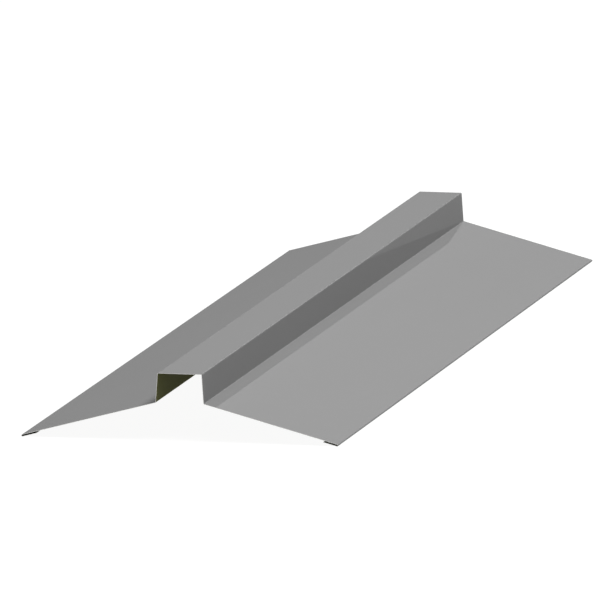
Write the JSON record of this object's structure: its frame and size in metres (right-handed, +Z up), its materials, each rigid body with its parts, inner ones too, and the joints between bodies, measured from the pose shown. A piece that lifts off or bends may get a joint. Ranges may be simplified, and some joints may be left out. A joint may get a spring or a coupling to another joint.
{
  "type": "roof ridge cap",
  "caption": "Folded steel ridge cap that covers the peak of a roof, with a flat raised crown, sloping wings and open hems.",
  "frame": {"origin": "mid-length and mid-width, level with the lowest lines of the two hem folds that the cap lies on", "axes": "+Y along the ridge, +Z up through the crown, X across the wings"},
  "size_m": [0.5006, 2, 0.1058],
  "materials": {
    "coated_steel": "gloss"
  },
  "bodies": {
    "root": {"ridge_cap": "coated_steel"}
  },
  "joints": []
}
